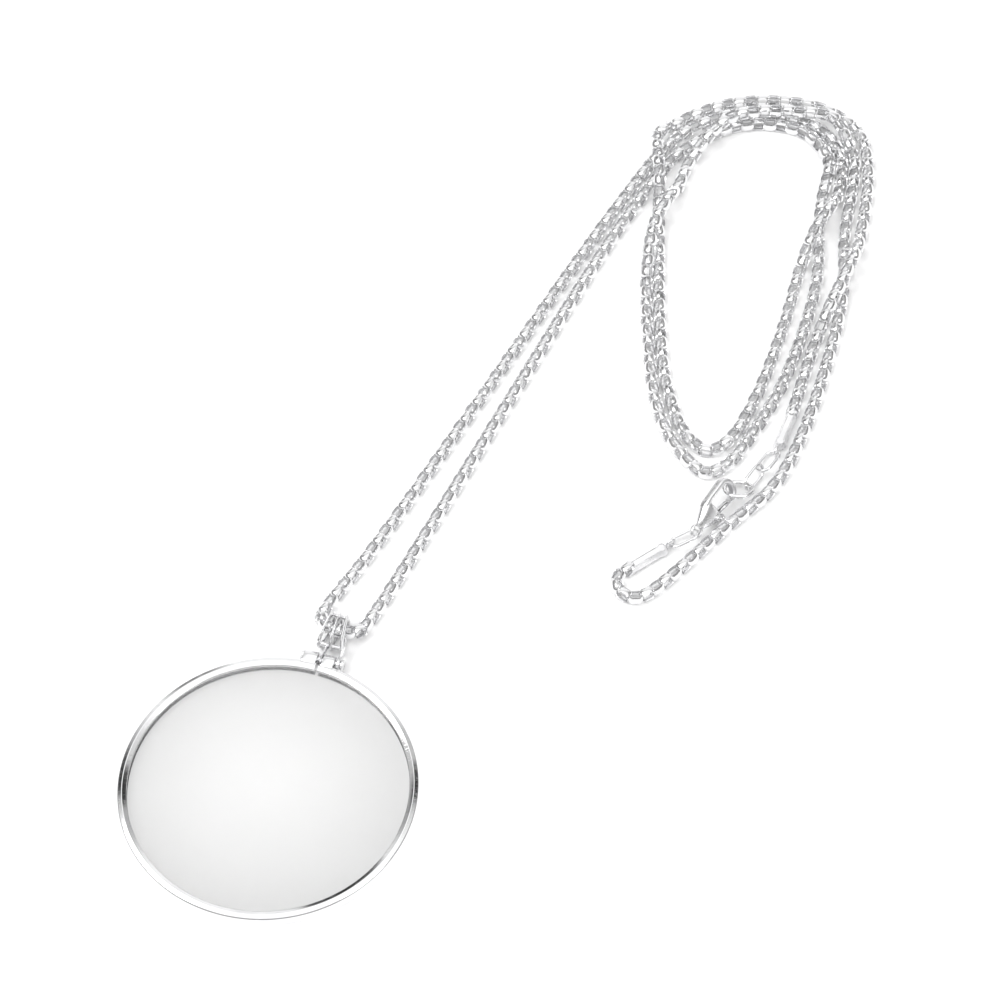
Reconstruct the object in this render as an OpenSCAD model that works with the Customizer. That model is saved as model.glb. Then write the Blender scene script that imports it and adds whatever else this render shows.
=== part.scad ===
// Magnifier pendant necklace: a round lens in a clamped rim, hung by a ribbed bail
// on a fine rounded box chain that a lobster clasp closes.
// Millimetres. The necklace lies on the surface z = 0 and the pendant's centre is the origin.
// +Z points up and +Y points away from the viewer.

/* [Lens and rim] */
// Height of the rim above the surface
rim_h = 3.1; // [2.6:0.1:4]
// Diameter of the lens that stays in sight inside the rim's lips
lens_sight_d = 46.6; // [40:0.1:52]
// Width of the rim, from the lens in sight to its outer side
rim_wall = 1.7; // [1.5:0.05:2.2]
// Depth of the groove that holds the edge of the lens
groove_depth = 0.55; // [0.4:0.05:0.8]
// Height of the groove, between its two lips
groove_h = 1.7; // [1.2:0.1:2.2]
// Rise of the lens from its edge to its middle
lens_dome = 0.6; // [0.2:0.05:0.8]
// Clearance between the lens and the walls of the groove
lens_clearance = 0.05; // [0.02:0.01:0.1]
// Direction of the clamp and the bail, seen from above, from +X
top_angle = 70; // [60:0.5:120]

/* [Clamp and screw] */
// Distance of the clamp screw's axis from the rim's outer side
screw_reach = 1.2; // [1.1:0.05:1.5]
// Diameter of the clamp screw's shank
screw_d = 1.1; // [0.8:0.05:1.4]
// Length of each of the clamp screw's heads
screw_head_l = 0.45; // [0.35:0.05:0.7]
// Length of the lug on the left, which stands free of the bail
left_lug_l = 2.45; // [2:0.05:2.8]
// Length of the lug on the right, between the bail's two legs
right_lug_l = 2.05; // [1.7:0.05:2.4]
// Width of the slit that splits the rim
slit_w = 0.5; // [0.3:0.05:0.6]
// Clearance round the clamp screw's shank
screw_clearance = 0.05; // [0.02:0.01:0.09]

/* [Bail] */
// Width over the three ribs of the bail at their feet
ribs_w = 4.95; // [4.5:0.05:5.4]
// Wire diameter of the bail's three ribs
rib_wire = 0.75; // [0.6:0.05:0.9]
// Length of each rib's loop
rib_l = 6.4; // [5.6:0.1:7]
// Height of each rib's loop
rib_h = 4.3; // [4:0.1:4.6]
// Thickness of each leg of the bail
leg_t = 0.7; // [0.6:0.05:0.9]

/* [Chain] */
// Width and height of the chain
chain_w = 2.1; // [1.8:0.05:2.2]

/* [End caps and oval rings] */
// Length of an end cap, from its mouth to the middle of its loop
cap_l = 8.8; // [7.6:0.1:9.4]
// Height of an end cap
cap_h = 1.5; // [1.3:0.05:1.8]
// Diameter of the hole in an end cap's loop
eye_d = 1.2; // [1:0.05:1.3]
// Length of an oval ring
oval_l = 5.8; // [5.2:0.1:6.2]
// Width of an oval ring
oval_w = 3.2; // [2.9:0.1:3.6]
// Wire diameter of an oval ring
oval_wire = 0.55; // [0.45:0.05:0.6]

/* [Clasp] */
// Outer diameter of the clasp's ring
clasp_ring_d = 5.7; // [5.4:0.1:6]
// Wire diameter of the clasp's ring
clasp_ring_wire = 0.85; // [0.7:0.05:0.9]
// Thickness of the clasp's body
clasp_t = 2; // [1.8:0.1:2.2]
// Thickness of the clasp's lever
lever_t = 0.8; // [0.6:0.05:0.9]
// Diameter of the lever's pin
pin_d = 0.6; // [0.5:0.05:0.7]
// Clearance between the pin and the lever's bore
pin_clearance = 0.05; // [0.02:0.01:0.08]
// Clearance between each face of the lever and its slot
lever_side_gap = 0.1; // [0.08:0.01:0.15]

/* [Hidden] */

steel = "#c9ccd0";
plate = "#d6d8db";
glass = "#dfe7ea";

lip_r = lens_sight_d / 2;
rim_r = lip_r + rim_wall;
groove_r = lip_r + groove_depth;
groove_drop = 0.15;
groove_z = (rim_h - groove_h) / 2 - groove_drop;
lens_r = groove_r - lens_clearance;
lens_edge_h = groove_h - 2 * lens_clearance;
lens_z = groove_z + lens_clearance;
lip_edge = 0.25;
rim_edge = 0.9;
edge_steps = 6;
dome_steps = 16;

// How far a cut runs past what it cuts, and how far a solid runs into the next one.
cut_over = 1;
lap = 0.3;

// The bail's left leg sits in the gap between the lugs, and its right leg outside the right lug.
// Places along the screw are measured from the middle of that gap.
lug_gap = 0.15;
head_gap = 0.1;
leg_gap = 0.1;
bail_rest = 0.02;
screw_r = rim_r + screw_reach;
screw_z = rim_h / 2;
lug_start_y = leg_t / 2 + lug_gap;
left_lug_end = lug_start_y + left_lug_l;
right_lug_end = lug_start_y + right_lug_l;
right_leg_y = right_lug_end + lug_gap;
right_leg_end = right_leg_y + leg_t;
screw_left = left_lug_end + head_gap + screw_head_l;
screw_right = right_leg_end + head_gap + screw_head_l;
screw_l = screw_left + screw_right;
lug_r = rim_h / 2;
lug_root = 0.4;
lug_inset = 0.5;
screw_head_d = 1.9;
screw_recess_d = 0.65;
screw_recess_depth = 0.3;

leg_r = screw_reach - leg_gap;
leg_h = 1.3;
loop_start = 2.4;
bridge_l = 0.9;
bridge_h = 1.3;
rib_inset = 0.275;
rib_spread = (ribs_w - rib_wire) / 2;
ribs_y = right_leg_end - rib_inset - ribs_w / 2;
rib_converge = 8;
top_bar_d = 0.8 * rib_wire;

// The bail rises just enough outwards for its loop to clear the surface.
bail_tilt = asin((rib_h / 2 + bail_rest - screw_z) / (loop_start + rib_h / 2));

cap_slim = 0.1;
cap_w = chain_w - cap_slim;
cap_z = 0.3;
cap_end_d = 2.4;
cap_lip = 0.12;
cap_lip_l = 0.6;
cap_edge = 0.35;
eye_wire = 0.5;
eye_rest = 0.05;
eye_z = eye_d / 2 + eye_wire + eye_rest;
cap_flat_l = cap_l - eye_d / 2 - eye_wire - cap_end_d / 2 + lap;
cap_gap = 0.22;
// The clasp's heading, pitch and roll.
clasp_heading = 53.5;
clasp_pitch = 5.8;
clasp_roll = -55.5;
tail_d = 2.6;
tail_hole_d = 1.6;
tail_t = 0.7;
neck_y = 1;
neck_w = 1.8;
body_end_y = 5.4;
body_end_w = 4.8;
shoulder_l = 1.2;
shoulder_in = 0.4;
body_edge = 0.5;
pin_seat = 0.01;
arm_y = 4.8;
arm_w = 0.9;
arm_t = 1.6;
arm_edge = 0.25;
arm_swell = 0.05;
arm_lap = 0.3;
hook_y = 9;
hook_r = 1.9;
hook_x = -0.1;
hook_sweep = 202;
pivot_x = 0.95;
pivot_y = 4.6;
hub_d = 1.3;
gate_x = 1.6;
gate_y = 7.8;
gate_w = 0.9;
thumb_x = 2.4;
thumb_y = 5.5;
thumb_d = 1.1;
slot_x = 0.1;
slot_y = 3.8;
slot_end = 20;

floor_z = chain_w / 2;
chain_sides = 8;

// Each end cap's heading, from its mouth to its loop, and the middle of that loop.
cap_1_heading = -113;
cap_2_heading = 32.5;
eye_1_at = [88.28, 63.9, eye_z];
eye_2_at = [68.91, 45.55, eye_z];

// The middle of the bail's ribs seen from above, and the chain's pass through them, measured from there.
bail_at = (screw_r + loop_start + rib_l / 2) * aim([top_angle, 0]) + ribs_y * aim([top_angle - 90, 0]);
bail_pass = [[5.81, 16.24, floor_z], [-0.59, 7.34, 1.1], [-2.09, 4.54, 1.6], [-2.49, 2.54, 2.1],
    [-1.39, 1.04, 2.35], [3.21, -0.26, 2.2], [5.01, 1.74, 1.3]];

// The chain's route, from the first end cap to the bail.
route_to_bail = [
    [97.3, 88, floor_z], [100.1, 93.8, 3.1], [102.8, 99.2, 3.5], [105.1, 104.4, 3],
    [106.8, 110, floor_z], [109.6, 127, floor_z], [108.2, 134.6, floor_z], [102.4, 140.2, floor_z],
    [93, 142.6, floor_z], [84, 141.9, floor_z], [76, 138.4, floor_z], [71.6, 134.2, 3], [71.4, 130.5, 3.4],
    [71.3, 124.2, 3.3], [70.9, 118.6, floor_z], [69.7, 91, floor_z], [70.3, 78, floor_z],
    [73, 68, floor_z], [76.4, 64.6, floor_z], [80.2, 66.6, floor_z], [85.6, 75.6, floor_z],
    [91.6, 91, floor_z], [95.4, 103.2, 1.2], [97.5, 108, 3.2], [99.8, 112.5, 3.4], [101.8, 115.8, 3],
    [103.4, 119.6, 1.2], [104.8, 127.2, floor_z], [103.4, 132.6, floor_z], [99.8, 136.8, floor_z],
    [92.6, 139.8, floor_z], [85, 139.6, floor_z], [77.4, 136.4, floor_z], [72.6, 132.2, floor_z],
    [61.6, 116.5, floor_z]
];

// The chain's route, from the bail to the second end cap.
route_from_bail = [
    [63.6, 114.6, floor_z], [71.8, 126.8, floor_z], [75.2, 130.9, floor_z], [79.6, 134, floor_z],
    [86, 136.9, floor_z], [92.3, 137, floor_z], [98.3, 134.9, floor_z], [101.3, 131.4, floor_z],
    [102.5, 127.4, floor_z],
    [100.7, 119.6, floor_z], [99.6, 113, floor_z], [98.8, 104, floor_z], [97, 95.8, floor_z],
    [90.6, 78.6, floor_z], [83.6, 66.6, floor_z], [79.6, 61.6, floor_z], [75.8, 60, floor_z],
    [71.4, 65, floor_z], [68.2, 74, floor_z], [67.3, 88, floor_z], [67.7, 101.5, 1.3], [68.6, 108, 3],
    [70.1, 114, 3.4], [72.8, 119.4, 3.1], [74.8, 123.2, 1.3], [77, 128.6, floor_z], [80.8, 133.1, 3.2],
    [85.6, 137.4, 3.4], [92.5, 138.5, 3.2], [99, 137.6, 3.4], [104, 136.4, 3], [106.4, 131, 1.6],
    [107.2, 127, floor_z], [104, 110.4, floor_z], [102.9, 99.2, floor_z], [100.2, 87.6, floor_z],
    [92.6, 66, floor_z], [87, 56.2, floor_z], [79.4, 49.3, floor_z], [63.6, 35.2, floor_z],
    [61, 35.2, floor_z], [59.3, 37.4, floor_z], [59.9, 39.7, floor_z]
];
chain_route = concat([chain_end(eye_1_at, cap_1_heading)], route_to_bail, [for (p = bail_pass) p + bail_at],
                     route_from_bail, [chain_end(eye_2_at, cap_2_heading)]);

// Heading, pitch and roll of each oval ring's length.
oval_1_turn = [21.5, 10, -23.5];
oval_2_turn = [53, 0, 65.5];
oval_3_turn = [54, -4.5, -24];

// From the second end cap: the first oval ring, then the clasp's tail, each a little off the last one's wire.
oval_run = (oval_l - oval_wire) / 2;
oval_1_at = eye_2_at + [-0.11, -0.29, -0.01] + oval_run * aim(oval_1_turn);
clasp_at = oval_1_at + oval_run * aim(oval_1_turn) + [-0.26, 0.05, 0.08];

// From the first end cap: the third oval ring, the second, then the clasp's ring.
oval_3_at = eye_1_at + [-0.04, 0.02, -0.11] - oval_run * aim(oval_3_turn);
oval_2_at = oval_3_at - oval_run * aim(oval_3_turn) + [0.42, 0.61, 0.2] - oval_run * aim(oval_2_turn);
clasp_ring_run = (clasp_ring_d - clasp_ring_wire) / 2;
clasp_ring_hold = 24;
clasp_ring_at = oval_2_at - oval_run * aim(oval_2_turn) + [0.9, 0.44, 0.35]
    - clasp_ring_run * aim([clasp_ring_hold, 0]);

// The heading of the axis that the clasp's ring tilts about, and the tilt.
clasp_ring_heading = -3.5;
clasp_ring_tilt = -24.5;

// The direction that a heading and pitch point in, and the chain's end just outside an end cap's mouth.
function aim(turn) = [cos(turn[0]) * cos(turn[1]), sin(turn[0]) * cos(turn[1]), sin(turn[1])];
function chain_end(eye, heading) = [eye.x, eye.y, floor_z] - (cap_l + cap_gap) * aim([heading, 0]);
function arc(cx, cy, r, from, to, steps) =
    [for (i = [0:steps]) let (a = from + (to - from) * i / steps) [cx + r * cos(a), cy + r * sin(a)]];

module at_top() {
    rotate([0, 0, top_angle]) children();
}

module lens() {
    dome_reach = lip_r - lens_clearance;
    dome_r = (dome_reach * dome_reach + lens_dome * lens_dome) / (2 * lens_dome);
    dome_z = lens_edge_h + lens_dome - dome_r;
    dome_angle = acos(dome_reach / dome_r);
    color(glass, 0.5)
    translate([0, 0, lens_z]) rotate_extrude($fn = 128)
        polygon(concat([[0, 0], [lens_r, 0], [lens_r, lens_edge_h]],
                       arc(0, dome_z, dome_r, dome_angle, 90, dome_steps)));
}

function rim_section() = concat(
    [[lip_r + lip_edge, 0]],
    arc(rim_r - rim_edge, rim_edge, rim_edge, -90, 0, edge_steps),
    arc(rim_r - rim_edge, rim_h - rim_edge, rim_edge, 0, 90, edge_steps),
    [[lip_r + lip_edge, rim_h], [lip_r, rim_h - lip_edge], [lip_r, groove_z + groove_h],
     [groove_r, groove_z + groove_h], [groove_r, groove_z], [lip_r, groove_z], [lip_r, lip_edge]]);

module rim() {
    lug_start = groove_r + lug_root;
    lug_end = screw_r - lug_inset;
    lugs_l = left_lug_end + right_lug_end;
    bore_d = screw_d + 2 * screw_clearance;
    color(plate)
    difference() {
        union() {
            rotate_extrude($fn = 160) polygon(rim_section());
            at_top() {
                translate([lug_start, -right_lug_end, 0]) cube([lug_end - lug_start, lugs_l, rim_h]);
                translate([lug_end, left_lug_end, screw_z]) rotate([90, 0, 0])
                    cylinder(r = lug_r, h = lugs_l, $fn = 64);
            }
        }
        at_top() translate([lip_r - cut_over, -slit_w / 2, -cut_over])
            cube([rim_r - lip_r + 2 * cut_over, slit_w, rim_h + 2 * cut_over]);
        at_top() translate([rim_r, -lug_start_y, -cut_over])
            cube([lug_end + lug_r - rim_r + cut_over, 2 * lug_start_y, rim_h + 2 * cut_over]);
        at_top() translate([screw_r, screw_l, screw_z]) rotate([90, 0, 0])
            cylinder(d = bore_d, h = 2 * screw_l, $fn = 48);
    }
}

module clamp_screw() {
    half = screw_l / 2;
    color(steel)
    at_top() translate([screw_r, (screw_left - screw_right) / 2, screw_z]) rotate([90, 0, 0])
    difference() {
        union() {
            translate([0, 0, -half]) cylinder(d = screw_d, h = screw_l, $fn = 48);
            translate([0, 0, -half]) cylinder(d = screw_head_d, h = screw_head_l, $fn = 48);
            translate([0, 0, half - screw_head_l]) cylinder(d = screw_head_d, h = screw_head_l, $fn = 48);
        }
        translate([0, 0, -half - cut_over])
            cylinder(d = screw_recess_d, h = screw_recess_depth + cut_over, $fn = 32);
    }
}

// A closed loop of round wire in the x-z plane, with its length along x from 0.
module wire_loop(length, height, wire) {
    mid_r = (height - wire) / 2;
    run = length - height;
    translate([height / 2, 0, 0]) rotate([90, 0, 0]) {
        rotate([0, 0, 90]) rotate_extrude(angle = 180, $fn = 64)
            translate([mid_r, 0]) circle(d = wire, $fn = 32);
        translate([run, 0, 0]) rotate([0, 0, -90]) rotate_extrude(angle = 180, $fn = 64)
            translate([mid_r, 0]) circle(d = wire, $fn = 32);
        for (s = [-1, 1])
            translate([0, s * mid_r, 0]) rotate([0, 90, 0]) cylinder(d = wire, h = run, $fn = 32);
    }
}

module bail() {
    bore_d = screw_d + 2 * screw_clearance;
    loop_end = loop_start + rib_l - rib_wire / 2;
    top_bar_l = 2 * (rib_spread - (rib_l - rib_wire) * tan(rib_converge));
    bridge_w = right_leg_end - ribs_y + ribs_w / 2;
    color(plate)
    at_top() translate([screw_r, 0, screw_z]) rotate([0, -bail_tilt, 0])
    difference() {
        union() {
            for (y = [leg_t / 2, -right_leg_y])
                translate([0, y, 0]) rotate([90, 0, 0]) {
                    cylinder(r = leg_r, h = leg_t, $fn = 48);
                    translate([0, -leg_h / 2, 0]) cube([loop_start + bridge_l, leg_h, leg_t]);
                }
            translate([loop_start, -right_leg_end, -bridge_h / 2]) cube([bridge_l, bridge_w, bridge_h]);
            for (s = [-1, 0, 1])
                translate([loop_start, s * rib_spread - ribs_y, 0]) rotate([0, 0, -s * rib_converge])
                    wire_loop(rib_l, rib_h, rib_wire);
            translate([loop_end, top_bar_l / 2 - ribs_y, 0]) rotate([90, 0, 0])
                cylinder(d = top_bar_d, h = top_bar_l, $fn = 32);
        }
        translate([0, screw_l, 0]) rotate([90, 0, 0]) cylinder(d = bore_d, h = 2 * screw_l, $fn = 48);
    }
}

// Unit vectors along the route, and across and above it, at each of its points.
function unit(v) = v / norm(v);
function route_at(i) = chain_route[max(0, min(len(chain_route) - 1, i))];
function leg(i) = route_at(i + 1) == route_at(i) ? [0, 0, 0] : unit(route_at(i + 1) - route_at(i));
function along(i) = unit(leg(i - 1) + leg(i));
function across(i) = unit(cross(along(i), [0, 0, 1]));
function above(i) = cross(across(i), along(i));
function tube_point(i, k) =
    let (a = (k + 0.5) * 360 / chain_sides, r = chain_w / 2 / cos(180 / chain_sides))
    chain_route[i] + r * cos(a) * across(i) + r * sin(a) * above(i);

module chain() {
    last = len(chain_route) - 1;
    n = chain_sides;
    start_cap = [for (k = [n - 1:-1:0]) k];
    end_cap = [for (k = [0:n - 1]) last * n + k];
    sides = [for (i = [0:last - 1], k = [0:n - 1], half = [0, 1])
        let (a = i * n + k, d = i * n + (k + 1) % n)
        half == 0 ? [a, d, d + n] : [a, d + n, a + n]];
    color(steel)
    polyhedron(points = [for (i = [0:last], k = [0:n - 1]) tube_point(i, k)],
               faces = concat([start_cap], sides, [end_cap]), convexity = 20);
}

// The section of an end cap across its length, with its upper corners cut.
module cap_section(half) {
    polygon([[-half, 0], [half, 0], [half, cap_h - cap_edge], [half - cap_edge, cap_h],
             [-half + cap_edge, cap_h], [-half, cap_h - cap_edge]]);
}

// One end cap, with its mouth at the origin and its loop along +y.
module end_cap() {
    hw = cap_w / 2;
    color(plate)
    difference() {
        union() {
            translate([0, cap_flat_l, cap_z]) rotate([90, 0, 0]) linear_extrude(height = cap_flat_l)
                cap_section(hw);
            translate([0, cap_flat_l, cap_z]) cylinder(d = cap_end_d, h = cap_h - cap_edge, $fn = 64);
            translate([0, cap_flat_l, cap_z]) cylinder(d = cap_end_d - 2 * cap_edge, h = cap_h, $fn = 64);
            translate([-hw - cap_lip, 0, cap_z - cap_lip])
                cube([cap_w + 2 * cap_lip, cap_lip_l, cap_h + 2 * cap_lip]);
            translate([0, cap_l, eye_z]) rotate([0, 90, 0]) rotate_extrude($fn = 64)
                translate([(eye_d + eye_wire) / 2, 0]) circle(d = eye_wire, $fn = 32);
        }
        translate([-cap_w, cap_l, eye_z]) rotate([0, 90, 0]) cylinder(d = eye_d, h = 2 * cap_w, $fn = 64);
    }
}

// An end cap on the surface, with its loop's middle at a place.
module place_cap(eye, heading) {
    translate([eye.x, eye.y, 0]) rotate([0, 0, heading - 90]) translate([0, -cap_l, 0]) children();
}

module end_cap_1() {
    place_cap(eye_1_at, cap_1_heading) end_cap();
}

module end_cap_2() {
    place_cap(eye_2_at, cap_2_heading) end_cap();
}

// One oval ring at a place, with its length turned to a heading, a pitch and a roll.
module oval_ring(at, turn) {
    color(plate)
    translate(at) rotate([0, 0, turn[0]]) rotate([0, -turn[1], 0]) rotate([turn[2] - 90, 0, 0])
        translate([-oval_l / 2, 0, 0]) wire_loop(oval_l, oval_w, oval_wire);
}

module oval_ring_1() {
    oval_ring(oval_1_at, oval_1_turn);
}

module oval_ring_2() {
    oval_ring(oval_2_at, oval_2_turn);
}

module oval_ring_3() {
    oval_ring(oval_3_at, oval_3_turn);
}

module clasp_ring() {
    color(plate)
    translate(clasp_ring_at) rotate([0, 0, clasp_ring_heading]) rotate([clasp_ring_tilt, 0, 0])
        rotate_extrude($fn = 96) translate([(clasp_ring_d - clasp_ring_wire) / 2, 0])
            circle(d = clasp_ring_wire, $fn = 40);
}

module place_clasp() {
    translate(clasp_at) rotate([0, 0, clasp_heading - 90]) rotate([clasp_pitch, 0, 0])
        rotate([0, -clasp_roll, 0]) children();
}

// A rectangle about the origin with its corners cut, from its half sizes.
module cut_box(w, t, e) {
    polygon([[-w, -t + e], [-w + e, -t], [w - e, -t], [w, -t + e],
             [w, t - e], [w - e, t], [-w + e, t], [-w, t - e]]);
}

// The section of the hook's bar, larger by a swell in the straight arm.
module bar_section(swell) {
    cut_box(arm_w / 2 + swell, arm_t / 2 + swell, arm_edge);
}

// The section of the clasp's body at its widest.
module body_section() {
    cut_box(body_end_w / 2, clasp_t / 2, body_edge);
}

module clasp_body() {
    slot_t = lever_t + 2 * lever_side_gap;
    arm_x = hook_x - hook_r;
    arm_end = hook_y + arm_lap;
    color(plate)
    place_clasp()
    difference() {
        union() {
            translate([0, 0, -tail_t / 2]) cylinder(d = tail_d, h = tail_t, $fn = 64);
            intersection() {
                translate([0, 0, -clasp_t / 2]) linear_extrude(height = clasp_t)
                    polygon([[-neck_w / 2, neck_y], [neck_w / 2, neck_y],
                             [body_end_w / 2, body_end_y - shoulder_l],
                             [body_end_w / 2 - shoulder_in, body_end_y], [-body_end_w / 2, body_end_y]]);
                translate([0, body_end_y, 0]) rotate([90, 0, 0]) linear_extrude(height = body_end_y)
                    body_section();
            }
            translate([arm_x, arm_end, 0]) rotate([90, 0, 0]) linear_extrude(height = arm_end - arm_y)
                bar_section(arm_swell);
            translate([hook_x, hook_y, 0]) rotate([0, 0, 180 - hook_sweep])
                rotate_extrude(angle = hook_sweep, $fn = 96) translate([hook_r, 0]) bar_section(0);
        }
        translate([0, 0, -clasp_t]) cylinder(d = tail_hole_d, h = 2 * clasp_t, $fn = 48);
        translate([slot_x, slot_y, -slot_t / 2]) cube([slot_end, body_end_y, slot_t]);
        translate([pivot_x, pivot_y, -clasp_t]) cylinder(d = pin_d + 2 * pin_seat, h = 2 * clasp_t, $fn = 40);
    }
}

module bar_2d(a, b, w) {
    d = b - a;
    translate(a) rotate([0, 0, atan2(d.y, d.x)]) translate([0, -w / 2]) square([norm(d), w]);
    translate(b) circle(d = w, $fn = 32);
}

module clasp_lever() {
    pivot = [pivot_x, pivot_y];
    color(steel)
    place_clasp()
    translate([0, 0, -lever_t / 2]) linear_extrude(height = lever_t)
    difference() {
        union() {
            translate(pivot) circle(d = hub_d, $fn = 48);
            bar_2d(pivot, [gate_x, gate_y], gate_w);
            bar_2d(pivot, [thumb_x, thumb_y], gate_w);
            translate([thumb_x, thumb_y]) circle(d = thumb_d, $fn = 32);
        }
        translate(pivot) circle(d = pin_d + 2 * pin_clearance, $fn = 40);
    }
}

module clasp_pin() {
    color(steel)
    place_clasp()
    translate([pivot_x, pivot_y, -clasp_t / 2]) cylinder(d = pin_d, h = clasp_t, $fn = 40);
}

lens();
rim();
clamp_screw();
bail();
chain();
end_cap_1();
end_cap_2();
oval_ring_1();
oval_ring_2();
oval_ring_3();
clasp_ring();
clasp_body();
clasp_lever();
clasp_pin();
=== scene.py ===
"""Looks of the magnifier pendant necklace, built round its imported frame.

The frame is in metres: the middle of the lens is the origin, the necklace lies on z = 0,
+Z is up and +Y is away from the viewer. A small piece is drawn in millimetres in a frame of
its own, and its placing matrix brings it to metres.
"""

import logging
import math
from dataclasses import dataclass
from enum import Enum

import bmesh
import bpy
from mathutils import Matrix, Vector

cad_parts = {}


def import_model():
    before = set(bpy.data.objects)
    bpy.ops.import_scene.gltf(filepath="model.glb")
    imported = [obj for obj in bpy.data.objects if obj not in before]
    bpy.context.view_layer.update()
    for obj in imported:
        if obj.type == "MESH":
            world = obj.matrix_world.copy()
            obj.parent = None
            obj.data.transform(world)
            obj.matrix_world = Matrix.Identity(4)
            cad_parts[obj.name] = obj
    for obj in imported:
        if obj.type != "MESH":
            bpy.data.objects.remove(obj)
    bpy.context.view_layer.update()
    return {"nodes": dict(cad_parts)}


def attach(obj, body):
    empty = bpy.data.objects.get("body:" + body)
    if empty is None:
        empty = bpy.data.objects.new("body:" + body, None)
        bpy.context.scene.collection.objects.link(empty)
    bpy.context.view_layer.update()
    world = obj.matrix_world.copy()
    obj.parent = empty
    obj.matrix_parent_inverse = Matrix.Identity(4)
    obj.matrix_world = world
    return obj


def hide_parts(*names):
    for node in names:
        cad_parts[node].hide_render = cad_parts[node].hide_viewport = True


log = logging.getLogger("necklace")

Point = tuple[float, float, float]
Turn = tuple[str, float]

BODY = "necklace"
LEVER_BODY = "lever"
LOW = 0.00105
METRES = Matrix.Scale(0.001, 4)

# The chain's route, from the first end cap to the second, as the part's source has it.
CHAIN_ROUTE: list[Point] = [
    (0.0918044, 0.072203, LOW), (0.0973, 0.088, LOW), (0.1001, 0.0938, 0.0031), (0.1028, 0.0992, 0.0035),
    (0.1051, 0.1044, 0.003), (0.1068, 0.11, LOW), (0.1096, 0.127, LOW), (0.1082, 0.1346, LOW),
    (0.1024, 0.1402, LOW), (0.093, 0.1426, LOW), (0.084, 0.1419, LOW), (0.076, 0.1384, LOW),
    (0.0716, 0.1342, 0.003), (0.0714, 0.1305, 0.0034), (0.0713, 0.1242, 0.0033),
    (0.0709, 0.1186, LOW), (0.0697, 0.091, LOW), (0.0703, 0.078, LOW), (0.073, 0.068, LOW),
    (0.0764, 0.0646, LOW), (0.0802, 0.0666, LOW), (0.0856, 0.0756, LOW), (0.0916, 0.091, LOW),
    (0.0954, 0.1032, 0.0012), (0.0975, 0.108, 0.0032), (0.0998, 0.1125, 0.0034),
    (0.1018, 0.1158, 0.003), (0.1034, 0.1196, 0.0012), (0.1048, 0.1272, LOW), (0.1034, 0.1326, LOW),
    (0.0998, 0.1368, LOW), (0.0926, 0.1398, LOW), (0.085, 0.1396, LOW), (0.0774, 0.1364, LOW),
    (0.0726, 0.1322, LOW), (0.0616, 0.1165, LOW), (0.017297, 0.0459, LOW),
    (0.010897, 0.037, 0.0011), (0.009397, 0.0342, 0.0016), (0.008997, 0.0322, 0.0021),
    (0.010097, 0.0307, 0.00235), (0.014697, 0.0294, 0.0022), (0.016497, 0.0314, 0.0013),
    (0.0636, 0.1146, LOW), (0.0718, 0.1268, LOW), (0.0752, 0.1309, LOW), (0.0796, 0.134, LOW),
    (0.086, 0.1369, LOW), (0.0923, 0.137, LOW), (0.0983, 0.1349, LOW), (0.1013, 0.1314, LOW),
    (0.1025, 0.1274, LOW), (0.1007, 0.1196, LOW), (0.0996, 0.113, LOW), (0.0988, 0.104, LOW),
    (0.097, 0.0958, LOW),
    (0.0906, 0.0786, LOW), (0.0836, 0.0666, LOW), (0.0796, 0.0616, LOW), (0.0758, 0.06, LOW),
    (0.0714, 0.065, LOW), (0.0682, 0.074, LOW), (0.0673, 0.088, LOW), (0.0677, 0.1015, 0.0013),
    (0.0686, 0.108, 0.003), (0.0701, 0.114, 0.0034), (0.0728, 0.1194, 0.0031),
    (0.0748, 0.1232, 0.0013), (0.077, 0.1286, LOW), (0.0808, 0.1331, 0.0032),
    (0.0856, 0.1374, 0.0034), (0.0925, 0.1385, 0.0032), (0.099, 0.1376, 0.0034),
    (0.104, 0.1364, 0.003), (0.1064, 0.131, 0.0016), (0.1072, 0.127, LOW), (0.104, 0.1104, LOW),
    (0.1029, 0.0992, LOW), (0.1002, 0.0876, LOW), (0.0926, 0.066, LOW), (0.087, 0.0562, LOW),
    (0.0794, 0.0493, LOW), (0.0636, 0.0352, LOW), (0.061, 0.0352, LOW), (0.0593, 0.0374, LOW),
    (0.0599, 0.0397, LOW), (0.0613026, 0.0407036, LOW),
]


class Slot(Enum):
    """The record's material slots."""

    LENS = "lens_glass"
    PLATE = "silver_plate"
    CHAIN = "silver_chain"


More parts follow.
